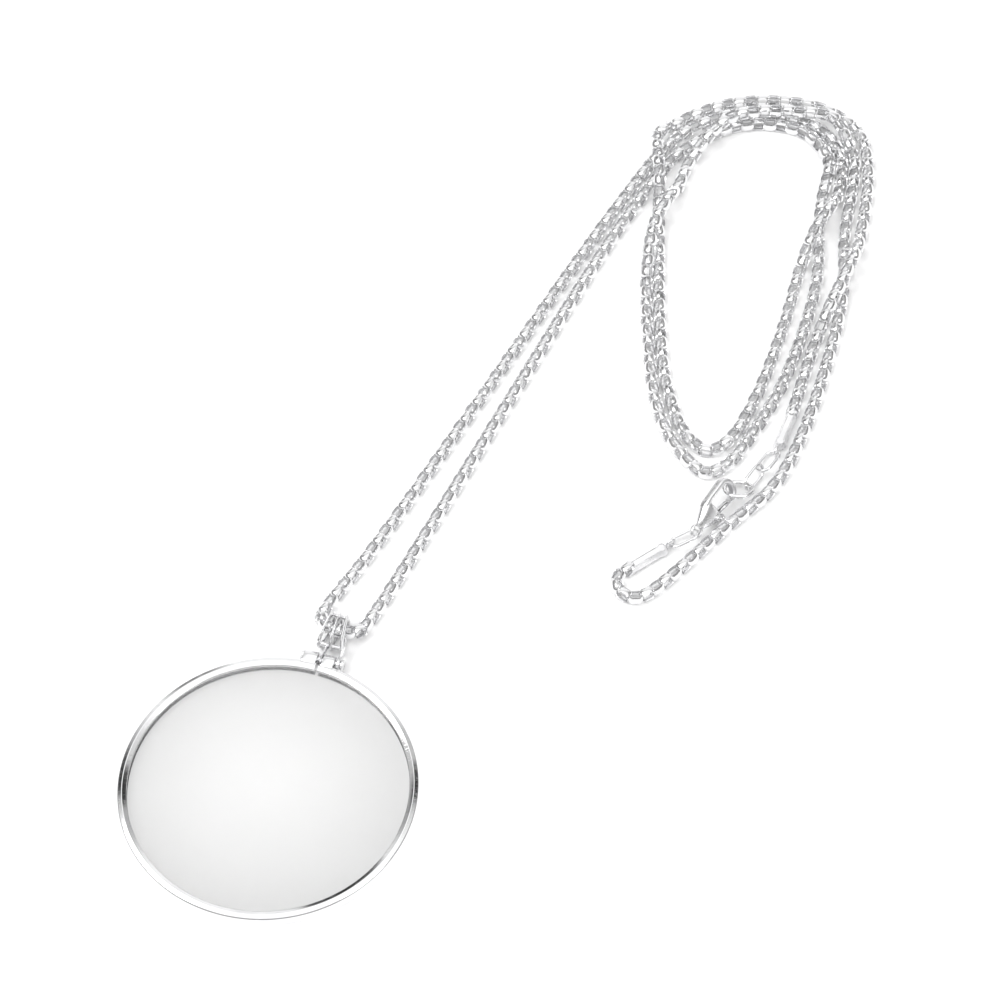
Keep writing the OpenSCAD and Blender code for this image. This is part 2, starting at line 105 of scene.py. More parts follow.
class NodeTree:
    """A node tree that is filled by short calls."""

    def __init__(self, tree: bpy.types.NodeTree) -> None:
        """Keep the tree of a group, a material or a world."""
        self.tree = tree

    def add(self, kind: str, inputs: dict | None = None, **settings: object) -> bpy.types.Node:
        """Add a node.

        Args:
            kind: The node's type name.
            inputs: Values or source sockets, by input name or number.
            settings: Properties of the node itself.

        Returns:
            The new node.
        """
        node = self.tree.nodes.new(kind)
        for name, value in settings.items():
            setattr(node, name, value)
        for key, value in (inputs or {}).items():
            self.feed(node.inputs[key], value)
        return node

    def feed(self, socket: bpy.types.NodeSocket, value: object) -> None:
        """Link a source socket to an input, or set the input's value.

        Args:
            socket: The input.
            value: A source socket or a plain value.
        """
        if isinstance(value, bpy.types.NodeSocket):
            self.tree.links.new(value, socket)
        else:
            socket.default_value = value

    def math(self, operation: str, first: object, second: object = 0.0) -> bpy.types.NodeSocket:
        """Add a Math node and give its result's socket."""
        return self.add("ShaderNodeMath", {0: first, 1: second}, operation=operation).outputs[0]

    def vector(self, operation: str, first: object, second: object, output: int = 0) -> bpy.types.NodeSocket:
        """Add a Vector Math node and give its result's socket, 0 for a vector and 1 for a value."""
        return self.add("ShaderNodeVectorMath", {0: first, 1: second}, operation=operation).outputs[output]

    def spread(self, value: bpy.types.NodeSocket, low: float, high: float) -> bpy.types.NodeSocket:
        """Spread a value between low and high over 0 to 1."""
        return self.add("ShaderNodeMapRange", {0: value, 1: low, 2: high}).outputs[0]

    def mix(self, factor: bpy.types.NodeSocket, first: object, second: object) -> bpy.types.NodeSocket:
        """Mix two colours and give the result's socket."""
        return self.add("ShaderNodeMix", {"Factor": factor, 6: first, 7: second}, data_type="RGBA").outputs[2]

    def sockets(self, direction: str, kind: str, names: tuple[str, ...]) -> None:
        """Give a group its named inputs (INPUT) or outputs (OUTPUT) of one kind, such as Float."""
        for name in names:
            self.tree.interface.new_socket(name=name, in_out=direction, socket_type=f"NodeSocket{kind}")

    def finish_shape(self, geometry: bpy.types.NodeSocket, material: bpy.types.NodeSocket) -> None:
        """End a geometry tree: realize, shade smooth, set the material and give out the result.

        Args:
            geometry: The shape's socket.
            material: The material's socket.
        """
        whole = self.add("GeometryNodeRealizeInstances", {"Geometry": geometry}).outputs[0]
        smooth = self.add("GeometryNodeSetShadeSmooth", {"Geometry": whole, "Shade Smooth": True}).outputs[0]
        dressed = self.add("GeometryNodeSetMaterial", {"Geometry": smooth, "Material": material}).outputs[0]
        self.add("NodeGroupOutput", {"Shape": dressed})


def grey(tone: float) -> tuple[float, float, float, float]:
    """Give a grey of one tone."""
    return (tone, tone, tone, 1.0)


def linked(name: str, data: bpy.types.ID) -> bpy.types.Object:
    """Put an object in the scene, at the origin.

    Args:
        name: The object's name.
        data: Its mesh, camera or light.

    Returns:
        The object.
    """
    result = bpy.data.objects.new(name, data)
    bpy.context.scene.collection.objects.link(result)
    return result


def from_shape(name: str, shape: bmesh.types.BMesh) -> bpy.types.Object:
    """Make a mesh object from a shape, which is freed.

    Args:
        name: The object's name.
        shape: The shape.

    Returns:
        The object.
    """
    mesh = bpy.data.meshes.new(name)
    shape.to_mesh(mesh)
    shape.free()
    return linked(name, mesh)


def plain_mesh(source: bpy.types.Object, name: str) -> bpy.types.Object:
    """Turn what an object's modifiers make into a plain mesh object, and drop the source.

    Args:
        source: The object that carries the modifiers.
        name: The new object's name.

    Returns:
        The plain mesh object, at the origin.
    """
    depsgraph = bpy.context.evaluated_depsgraph_get()
    mesh = bpy.data.meshes.new_from_object(source.evaluated_get(depsgraph))
    mesh.name = name
    result = linked(name, mesh)
    bpy.data.objects.remove(source)
    return result


def mesh_object(name: str, points: list[Vector], edges: list, faces: list) -> bpy.types.Object:
    """Make a mesh object whose faces point outwards.

    Args:
        name: The object's name.
        points: Its points.
        edges: Its loose edges, as pairs of point numbers.
        faces: Its faces, as tuples of point numbers.

    Returns:
        The object.
    """
    mesh = bpy.data.meshes.new(name)
    mesh.from_pydata([tuple(p) for p in points], edges, faces)
    shape = bmesh.new()
    shape.from_mesh(mesh)
    bmesh.ops.recalc_face_normals(shape, faces=shape.faces)
    shape.to_mesh(mesh)
    shape.free()
    return linked(name, mesh)


def run_of_edges(name: str, points: list[Vector], closed: bool) -> bpy.types.Object:
    """Make a mesh object of one run of edges.

    Args:
        name: The object's name.
        points: The run's points.
        closed: Whether its end is joined to its start.

    Returns:
        The object.
    """
    count = len(points)
    edges = [(i, (i + 1) % count) for i in range(count if closed else count - 1)]
    return mesh_object(name, points, edges, [])


def grown(base: bpy.types.Object, tree: NodeTree, values: dict[str, object], name: str) -> bpy.types.Object:
    """Let a geometry node group grow a shape from a base object.

    Args:
        base: The object that the group starts from.
        tree: The group.
        values: The group's inputs, by name.
        name: The shape's name.

    Returns:
        The shape as a plain mesh object.
    """
    modifier = base.modifiers.new(name, "NODES")
    modifier.node_group = tree.tree
    for item in tree.tree.interface.items_tree:
        if item.item_type == "SOCKET" and item.name in values:
            modifier[item.identifier] = values[item.name]
    return plain_mesh(base, name)


def placing(at: Point, *turns: Turn) -> Matrix:
    """Make the matrix that brings a shape in millimetres to its place in metres.

    Args:
        at: The place, in millimetres.
        turns: Turns about X, Y or Z in degrees, the outermost first.

    Returns:
        The matrix.
    """
    matrix = METRES @ Matrix.Translation(at)
    for axis, degrees in turns:
        matrix = matrix @ Matrix.Rotation(math.radians(degrees), 4, axis)
    return matrix


def rounded_ring(middle: Vector, side: Vector, rise: Vector, squareness: float, sides: int) -> list[Vector]:
    """Draw a rounded section.

    Args:
        middle: Its middle.
        side: From the middle to its side.
        rise: From the middle to its top.
        squareness: 2 for an ellipse, and more for a squarer section.
        sides: How many points it has.

    Returns:
        The section's points.
    """
    ring = []
    for i in range(sides):
        angle = 2 * math.pi * (i + 0.5) / sides
        c, s = math.cos(angle), math.sin(angle)
        a = math.copysign(abs(c) ** (2 / squareness), c)
        b = math.copysign(abs(s) ** (2 / squareness), s)
        ring.append(middle + a * side + b * rise)
    return ring


def loft(
    name: str, rings: list[list[Vector]], closed: bool = False, flat_ends: bool = False
) -> bpy.types.Object:
    """Stretch a skin over a row of sections.

    Args:
        name: The object's name.
        rings: The sections, each with the same number of points.
        closed: Whether the last section is joined to the first.
        flat_ends: Whether each end is one flat face, as a hollow section needs.

    Returns:
        The object.
    """
    sides = len(rings[0])
    points = [p for ring in rings for p in ring]
    faces = []
    for i in range(len(rings) if closed else len(rings) - 1):
        a, b = i * sides, (i + 1) % len(rings) * sides
        for k in range(sides):
            m = (k + 1) % sides
            faces.append((a + k, a + m, b + m, b + k))
    if not closed:
        for start in (0, (len(rings) - 1) * sides):
            if flat_ends:
                faces.append(tuple(range(start, start + sides)))
                continue
            pole = len(points)
            points.append(sum(points[start:start + sides], Vector()) / sides)
            faces.extend((start + k, start + (k + 1) % sides, pole) for k in range(sides))
    return mesh_object(name, points, [], faces)


def joined(name: str, pieces: list[bpy.types.Object], matrix: Matrix) -> bpy.types.Object:
    """Join pieces into one mesh object and lay it at its place.

    Args:
        name: The object's name.
        pieces: The pieces, which are dropped.
        matrix: The placing matrix.

    Returns:
        The object.
    """
    shape = bmesh.new()
    for piece in pieces:
        shape.from_mesh(piece.data)
        bpy.data.objects.remove(piece)
    shape.transform(matrix)
    return from_shape(name, shape)


def smooth_route(points: list[Vector], step: float, lowest: float) -> list[Vector]:
    """Lead a smooth line through a route's points.

    Args:
        points: The route's points.
        step: The rough distance between the line's points.
        lowest: The least height of the line.

    Returns:
        The line's points.
    """
    run = [2 * points[0] - points[1], *points, 2 * points[-1] - points[-2]]
    line: list[Vector] = []
    for a, b, c, d in zip(run, run[1:], run[2:], run[3:]):
        times = [0.0]
        for p, q in ((a, b), (b, c), (c, d)):
            times.append(times[-1] + math.sqrt((q - p).length))
        count = max(2, round((c - b).length / step))
        for i in range(count):
            t = times[1] + (times[2] - times[1]) * i / count
            ab = a.lerp(b, (t - times[0]) / (times[1] - times[0]))
            bc = b.lerp(c, (t - times[1]) / (times[2] - times[1]))
            cd = c.lerp(d, (t - times[2]) / (times[3] - times[2]))
            abc = ab.lerp(bc, (t - times[0]) / (times[2] - times[0]))
            bcd = bc.lerp(cd, (t - times[1]) / (times[3] - times[1]))
            line.append(abc.lerp(bcd, (t - times[1]) / (times[2] - times[1])))
    line.append(points[-1])
    for p in line:
        p.z = max(p.z, lowest)
    return line


@dataclass(frozen=True)
class ChainLinks:
    """The chain's links, laid along its route by Geometry Nodes.

    Attributes:
        pitch: Distance from one link's middle to the next.
        length: A link's length over all.
        width: A link's width over all.
        band_width: Width of the band that a link is bent from.
        band_thickness: Thickness of that band.
        corner: Radius of a link's corners along the band's middle.
        lie: How far the chain lies turned about its own length, in radians.
        twist: How much that turn wanders along the chain.
        wander: How quickly it wanders, for each link.
        play: How far one link may turn by itself.
        lean: How much more a strand that runs from side to side is turned.
        corner_cuts: How many points round each corner of a link.
        band_sides: How many sides the band's section has.
        seed: The seed of the play.
        step: Rough distance between the points of the smooth line.
        sizes: The tree's inputs that take the sizes of the same names.
    """

    pitch: float = 0.0021
    length: float = 0.00276
    width: float = 0.00204
    band_width: float = 0.00152
    band_thickness: float = 0.00034
    corner: float = 0.00062
    lie: float = math.pi / 4
    twist: float = 0.5
    wander: float = 0.045
    play: float = 0.07
    lean: float = 0.675
    corner_cuts: int = 2
    band_sides: int = 6
    seed: int = 7
    step: float = 0.0005
    sizes: tuple[str, ...] = (
        "Length", "Width", "Band Width", "Band Thickness", "Corner", "Lie", "Twist", "Wander", "Play", "Lean",
    )

    def link(self, tree: NodeTree, given: bpy.types.NodeOutputs) -> bpy.types.NodeSocket:
        """Bend one link from a band.

        Args:
            tree: The tree to fill.
            given: The group's inputs.

        Returns:
            The link's socket.
        """
        path = tree.add(
            "GeometryNodeCurvePrimitiveQuadrilateral",
            {"Width": tree.math("SUBTRACT", given["Length"], given["Band Thickness"]),
             "Height": tree.math("SUBTRACT", given["Width"], given["Band Thickness"])},
        )
        rounded = tree.add(
            "GeometryNodeFilletCurve",
            {"Curve": path.outputs[0], "Count": self.corner_cuts, "Radius": given["Corner"]},
            mode="POLY",
        )
        section = tree.add("GeometryNodeCurvePrimitiveCircle", {"Resolution": self.band_sides, "Radius": 1.0})
        half_side = math.pi / self.band_sides
        scale = tree.add(
            "ShaderNodeCombineXYZ",
            {0: tree.math("MULTIPLY", given["Band Thickness"], 0.5 / math.cos(half_side)),
             1: tree.math("MULTIPLY", given["Band Width"], 0.5), 2: 1.0},
        )
        turned = tree.add(
            "GeometryNodeTransform", {"Geometry": section.outputs[0], "Rotation": (0.0, 0.0, half_side)}
        )
        band = tree.add("GeometryNodeTransform", {"Geometry": turned.outputs[0], "Scale": scale.outputs[0]})
        upright = tree.add("GeometryNodeSetCurveNormal", {"Curve": rounded.outputs[0]}, mode="Z_UP")
        return tree.add(
            "GeometryNodeCurveToMesh",
            {"Curve": upright.outputs[0], "Profile Curve": band.outputs[0], "Fill Caps": False},
        ).outputs[0]

    def tree(self) -> NodeTree:
        """Build the node tree that lays links along an edge run.

        Returns:
            The geometry node group.
        """
        tree = NodeTree(bpy.data.node_groups.new("laid_links", "GeometryNodeTree"))
        tree.sockets("INPUT", "Geometry", ("Route",))
        tree.sockets("INPUT", "Int", ("Link Count", "Seed"))
        tree.sockets("INPUT", "Float", self.sizes)
        tree.sockets("INPUT", "Material", ("Material",))
        tree.sockets("OUTPUT", "Geometry", ("Shape",))
        given = tree.add("NodeGroupInput").outputs
        line = tree.add("GeometryNodeMeshToCurve", {"Mesh": given["Route"]})
        spaced = tree.add(
            "GeometryNodeResampleCurve",
            {"Curve": line.outputs[0], "Count": given["Link Count"]}, mode="COUNT",
        )
        tangent = tree.add("GeometryNodeInputTangent").outputs[0]
        headed = tree.add("FunctionNodeAlignRotationToVector", {"Vector": tangent}, axis="X", pivot_axis="Z")
        pitched = tree.add(
            "FunctionNodeAlignRotationToVector",
            {"Rotation": headed.outputs[0], "Vector": tangent}, axis="X", pivot_axis="Y",
        )
        number = tree.add("GeometryNodeInputIndex").outputs[0]
        quarter = tree.math("MULTIPLY", tree.math("MODULO", number, 2.0), math.pi / 2)
        noise = tree.add(
            "ShaderNodeTexNoise",
            {"W": tree.math("MULTIPLY", number, given["Wander"]), "Scale": 1.0, "Detail": 0.0},
            noise_dimensions="1D",
        ).outputs[0]
        drift = tree.math("MULTIPLY", tree.math("SUBTRACT", noise, 0.5), given["Twist"])
        loose = tree.add(
            "FunctionNodeRandomValue",
            {"Min": tree.math("MULTIPLY", given["Play"], -1.0), "Max": given["Play"], "ID": number,
             "Seed": given["Seed"]},
            data_type="FLOAT",
        ).outputs["Value"]
        aside = tree.add("ShaderNodeSeparateXYZ", {0: tangent}).outputs["X"]
        turned = tree.math("ARCTANGENT", tree.math("MULTIPLY", aside, given["Lean"]))
        rest = tree.math("ADD", tree.math("ADD", quarter, given["Lie"]), turned)
        roll = tree.math("ADD", rest, tree.math("ADD", drift, loose))
        about = tree.add("FunctionNodeAxisAngleToRotation", {"Axis": (1.0, 0.0, 0.0), "Angle": roll})
        rolled = tree.add(
            "FunctionNodeRotateRotation",
            {"Rotation": pitched.outputs[0], "Rotate By": about.outputs[0]}, rotation_space="LOCAL",
        )
        placed = tree.add(
            "GeometryNodeInstanceOnPoints",
            {"Points": spaced.outputs[0], "Instance": self.link(tree, given), "Rotation": rolled.outputs[0]},
        )
        tree.finish_shape(placed.outputs[0], given["Material"])
        return tree

    def build(self, material: bpy.types.Material) -> bpy.types.Object:
        """Lay the links along the chain's route.

        Args:
            material: The links' finish.

        Returns:
            One mesh object that holds every link.
        """
        line = smooth_route([Vector(p) for p in CHAIN_ROUTE], self.step, LOW)
        run = sum((b - a).length for a, b in zip(line, line[1:]))
        count = round(run / self.pitch) + 1
        values = {size: getattr(self, size.lower().replace(" ", "_")) for size in self.sizes}
        values |= {"Link Count": count, "Seed": self.seed, "Material": material}
        links = grown(run_of_edges("chain_run", line, False), self.tree(), values, "chain_links")
        log.info("chain: %d links over %.1f mm, %d faces", count, run * 1000, len(links.data.polygons))
        return links


@dataclass(frozen=True)
class WireBender:
    """Bends wire along a run of edges, and repeats it as ribs that lean together.

    Attributes:
        material: The wire's finish.
        sides: How many sides the wire has.
    """

    material: bpy.types.Material
    sides: int = 14

    def tree(self) -> NodeTree:
        """Build the node tree that bends and repeats the wire.

        Returns:
            The geometry node group.
        """
        tree = NodeTree(bpy.data.node_groups.new("bent_wire", "GeometryNodeTree"))
        tree.sockets("INPUT", "Geometry", ("Route",))
        tree.sockets("INPUT", "Int", ("Count",))
        tree.sockets("INPUT", "Float", ("Width", "Thickness", "Spread", "Lean"))
        tree.sockets("INPUT", "Material", ("Material",))
        tree.sockets("OUTPUT", "Geometry", ("Shape",))
        given = tree.add("NodeGroupInput").outputs
        line = tree.add("GeometryNodeMeshToCurve", {"Mesh": given["Route"]})
        upright = tree.add("GeometryNodeSetCurveNormal", {"Curve": line.outputs[0]}, mode="MINIMUM_TWIST")
        section = tree.add("GeometryNodeCurvePrimitiveCircle", {"Resolution": self.sides, "Radius": 0.5})
        scale = tree.add("ShaderNodeCombineXYZ", {0: given["Thickness"], 1: given["Width"], 2: 1.0})
        flat = tree.add("GeometryNodeTransform", {"Geometry": section.outputs[0], "Scale": scale.outputs[0]})
        wire = tree.add(
            "GeometryNodeCurveToMesh",
            {"Curve": upright.outputs[0], "Profile Curve": flat.outputs[0], "Fill Caps": True},
        )
        number = tree.add("GeometryNodeInputIndex").outputs[0]
        last = tree.math("SUBTRACT", given["Count"], 1.0)
        place = tree.math("SUBTRACT", number, tree.math("MULTIPLY", last, 0.5))
        first = tree.math("MULTIPLY", tree.math("MULTIPLY", last, -0.5), given["Spread"])
        start = tree.add("ShaderNodeCombineXYZ", {1: first})
        offset = tree.add("ShaderNodeCombineXYZ", {1: given["Spread"]})
        row = tree.add(
            "GeometryNodeMeshLine",
            {"Count": given["Count"], "Start Location": start.outputs[0], "Offset": offset.outputs[0]},
            mode="OFFSET",
        )
        inwards = tree.math("MULTIPLY", tree.math("MULTIPLY", place, -1.0), given["Lean"])
        lean = tree.add("ShaderNodeCombineXYZ", {2: inwards})
        ribs = tree.add(
            "GeometryNodeInstanceOnPoints",
            {"Points": row.outputs[0], "Instance": wire.outputs[0], "Rotation": lean.outputs[0]},
        )
        tree.finish_shape(ribs.outputs[0], given["Material"])
        return tree

    def bend(self, name: str, points: list[Vector], closed: bool, width: float, thickness: float = 0.0,
             count: int = 1, spread: float = 0.0, lean: float = 0.0) -> bpy.types.Object:
        """Bend a wire.

        Args:
            name: The object's name.
            points: The points along the wire's middle, in millimetres.
            closed: Whether its ends are joined.
            width: The wire's width.
            thickness: Its thickness, or 0 for round wire.
            count: How many times it is repeated across.
            spread: The distance from one to the next.
            lean: How far each leans towards the middle one, in degrees.

        Returns:
            The wire as a plain mesh object.
        """
        group = bpy.data.node_groups.get("bent_wire")
        tree = NodeTree(group) if group else self.tree()
        values = {"Count": count, "Width": width, "Thickness": thickness or width, "Spread": spread,
                  "Lean": math.radians(lean), "Material": self.material}
        return grown(run_of_edges(name + "_run", points, closed), tree, values, name)


def stadium(length: float, height: float, steps: int = 14) -> list[Vector]:
    """Draw a long loop with round ends, in the x-z plane, with its length along x from 0.

    Args:
        length: The loop's length.
        height: Its height.
        steps: How many steps each round end has.

    Returns:
        The loop's points.
    """
    r = height / 2
    points = []
    for middle, start in ((length - r, -90), (r, 90)):
        for i in range(steps + 1):
            a = math.radians(start + 180 * i / steps)
            points.append(Vector((middle + r * math.cos(a), 0.0, r * math.sin(a))))
    return points


def circle(radius: float, steps: int) -> list[Vector]:
    """Draw a circle about the origin, in the x-y plane."""
    turns = [2 * math.pi * i / steps for i in range(steps)]
    return [Vector((radius * math.cos(a), radius * math.sin(a), 0.0)) for a in turns]


@dataclass(frozen=True)
class Finish:
    """A finish with its record slot.

    Attributes:
        material: The finish's material.
        slot: The record's slot that it is taken from; not used.
        crease: The angle from which an edge stays sharp, in degrees.
    """

    material: bpy.types.Material
    slot: Slot
    crease: float = 35.0

    def hand_over(self, piece: bpy.types.Object, node: str, body: str = BODY) -> None:
        """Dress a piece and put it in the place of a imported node.

        Args:
            piece: The piece.
            node: The node that it replaces.
            body: The body that it rides on.
        """
        piece.data.materials.clear()
        piece.data.materials.append(self.material)
        piece.data.polygons.foreach_set("material_index", [0] * len(piece.data.polygons))
        piece.data.shade_smooth()
        piece.data.set_sharp_from_angle(angle=math.radians(self.crease))
        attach(piece, body)
        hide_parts(node)
        log.info("%s rides on %s in the place of %s", piece.name, body, node)


@dataclass(frozen=True)
class EndCap:
    """An end cap: a long flat-topped case with a round head, a raised lip at its mouth and a loop.

    Lengths are in millimetres, with the mouth's middle as the origin and +y towards the loop. The
    cap's place is that of its loop, its heading runs from the mouth to the loop in degrees, a layer
    of the case is (height, inset) and a row of the lip is (distance from its middle, inset).
    """

    node: str
    at: Point
    heading: float
    length: float = 8.8
    half_width: float = 1.0
    head_y: float = 6.8
    head_radius: float = 1.2
    mouth_y: float = 0.2
    waist_y: float = 2.4
    head_steps: int = 30
    lip: float = 0.12
    lip_length: float = 0.6
    lip_half_height: float = 0.75
    lip_z: float = 1.05
    lip_squareness: float = 5.0
    lip_sides: int = 40
    loop_radius: float = 0.85
    loop_wire: float = 0.5
    loop_z: float = 1.15
    loop_steps: int = 28
    layers: tuple[tuple[float, float], ...] = (
        (0.3, 0.22), (0.36, 0.1), (0.48, 0.02), (0.6, 0.0), (0.75, 0.04), (1.5, 0.34), (1.7, 0.4),
        (1.8, 0.44), (1.8, 0.52), (1.68, 0.6),
    )

    def outline(self, inset: float, z: float) -> list[Vector]:
        """Draw the case's outline, seen from above.

        Args:
            inset: How far it lies inside the widest outline.
            z: Its height.

        Returns:
            The outline's points.
        """
        w, r = self.half_width - inset, self.head_radius - inset
        start = -math.acos(w / r)
        turns = [start + (math.pi - 2 * start) * i / self.head_steps for i in range(self.head_steps + 1)]
        head = [Vector((r * math.cos(a), self.head_y + r * math.sin(a), z)) for a in turns]
        right = [Vector((w, self.mouth_y, z)), Vector((w, self.waist_y, z))]
        return [*right, *head, Vector((-w, self.waist_y, z)), Vector((-w, self.mouth_y, z))]

    def collar(self) -> bpy.types.Object:
        """Build the raised lip round the mouth.

        Returns:
            The object.
        """
        w, h, end = self.half_width + self.lip, self.lip_half_height + self.lip, self.lip_length
        rings = []
        for y, e in ((0.0, 0.2), (0.03, 0.07), (0.1, 0.0), (end - 0.1, 0.0), (end - 0.02, 0.06), (end, 0.16)):
            middle = Vector((0.0, y, self.lip_z))
            side, rise = Vector((w - e, 0.0, 0.0)), Vector((0.0, 0.0, h - e))
            rings.append(rounded_ring(middle, side, rise, self.lip_squareness, self.lip_sides))
        return loft(self.node + "_lip", rings)

    def build(self, bender: WireBender) -> bpy.types.Object:
        """Build the cap at its place.

        Args:
            bender: What bends its loop.

        Returns:
            The object.
        """
        case = loft(self.node + "_case", [self.outline(inset, z) for z, inset in self.layers])
        run = circle(self.loop_radius, self.loop_steps)
        loop = [Vector((0.0, self.length + p.x, self.loop_z + p.y)) for p in run]
        eye = bender.bend(self.node + "_loop", loop, True, self.loop_wire)
        back = Matrix.Translation((0.0, -self.length, 0.0))
        matrix = placing(self.at, ("Z", self.heading - 90)) @ back
        return joined(self.node + "_shell", [case, self.collar(), eye], matrix)


END_CAPS = (
    EndCap("end_cap_1", (88.28, 63.9, 0.0), -113.0),
    EndCap("end_cap_2", (68.91, 45.55, 0.0), 32.5),
)


@dataclass(frozen=True)
class Bail:
    """The bail: two legs, a low bar across their ends and three ribs that meet in a top bar.

    Lengths are in millimetres, with the place on the clamp screw between the lugs as the origin
    and +x outwards. The left leg sits at y = 0. The legs' shank is (distance outwards, half height),
    and the foot bar's rows are (share of its length, share of its size).
    """

    at: float = 26.2
    height: float = 1.55
    tilt: float = 7.83
    top_angle: float = 70.0
    leg_places: tuple[float, float] = (0.0, -3.05)
    leg_squareness: tuple[float, float] = (1.5, 5.0)
    leg_half: float = 0.35
    leg_shank: tuple[tuple[float, float], ...] = (
        (1.0, 0.66), (1.5, 0.58), (2.1, 0.6), (2.6, 0.65), (3.1, 0.6),
    )
    eye_radius: float = 1.1
    eye_turns: tuple[int, ...] = (176, 165, 150, 130, 110, 90, 70, 54)
    foot_bar: tuple[float, float] = (-3.4, 1.82)
    foot_bar_x: float = 0.45
    foot_bar_half: tuple[float, float] = (0.4, 0.5)
    foot_bar_rows: tuple[tuple[float, float], ...] = (
        (0.0, 0.8), (0.01, 0.93), (0.04, 1.0), (0.96, 1.0), (0.99, 0.93), (1.0, 0.8),
    )
    ribs_y: float = -0.65
    loop_start: float = 2.4
    rib_count: int = 3
    rib_length: float = 6.4
    rib_height: float = 4.3
    rib_width: float = 1.24
    rib_thickness: float = 0.6
    rib_spread: float = 2.1
    rib_lean: float = 8.0
    rib_joint: float = 0.75
    top_bar_inset: float = 0.36
    top_bar_wire: float = 0.62
    top_bar_points: tuple[float, ...] = (-1.12, -1.0, -0.5, 0.0, 0.5, 1.0, 1.12)
    section_sides: int = 28

    def leg(self, y: float, squareness: float) -> bpy.types.Object:
        """Build one leg, with its round foot on the screw.

        Args:
            y: Its place along the screw.
            squareness: How square its section is.

        Returns:
            The object.
        """
        turns = [math.radians(turn) for turn in self.eye_turns]
        rows = [(self.eye_radius * math.cos(a), self.eye_radius * math.sin(a)) for a in turns]
        side = Vector((0.0, self.leg_half, 0.0))
        rings = [
            rounded_ring(Vector((x, y, 0.0)), side, Vector((0.0, 0.0, h)), squareness, self.section_sides)
            for x, h in (*rows, *self.leg_shank)
        ]
        return loft(f"bail_leg_{round(abs(y))}", rings)

    def foot(self) -> bpy.types.Object:
        """Build the low bar that joins the legs and the ribs.

        Returns:
            The object.
        """
        low, high = self.foot_bar
        half_width, half_height = self.foot_bar_half
        rings = []
        for share, size in self.foot_bar_rows:
            middle = Vector((self.loop_start + self.foot_bar_x, low + (high - low) * share, 0.0))
            side, rise = Vector((half_width * size, 0.0, 0.0)), Vector((0.0, 0.0, half_height * size))
            rings.append(rounded_ring(middle, side, rise, 2.0, self.section_sides))
        return loft("bail_foot", rings)

    def build(self, bender: WireBender) -> bpy.types.Object:
        """Build the bail at its place.

        Args:
            bender: What bends its ribs and its top bar.

        Returns:
            The object.
        """
        t = self.rib_thickness
        rib = [p + Vector((t / 2, 0.0, 0.0)) for p in stadium(self.rib_length - t, self.rib_height - t)]
        ribs = bender.bend(
            "bail_ribs", rib, True, self.rib_width, t, self.rib_count, self.rib_spread, self.rib_lean
        )
        ribs.data.transform(Matrix.Translation((self.loop_start, self.ribs_y, 0.0)))
        end = self.loop_start + self.rib_length - self.top_bar_inset
        reach = self.rib_spread - (self.rib_length - self.rib_joint) * math.tan(math.radians(self.rib_lean))
        bar = [Vector((end, self.ribs_y + y * reach, 0.0)) for y in self.top_bar_points]
        top = bender.bend("bail_top_bar", bar, False, self.top_bar_wire)
        legs = [self.leg(y, squareness) for y, squareness in zip(self.leg_places, self.leg_squareness)]
        turned = Matrix.Rotation(math.radians(self.top_angle), 4, "Z")
        tilted = Matrix.Rotation(math.radians(-self.tilt), 4, "Y")
        local = Matrix.Translation((self.at, 0.0, self.height)) @ tilted
        return joined("bail_frame", [*legs, self.foot(), ribs, top], METRES @ turned @ local)


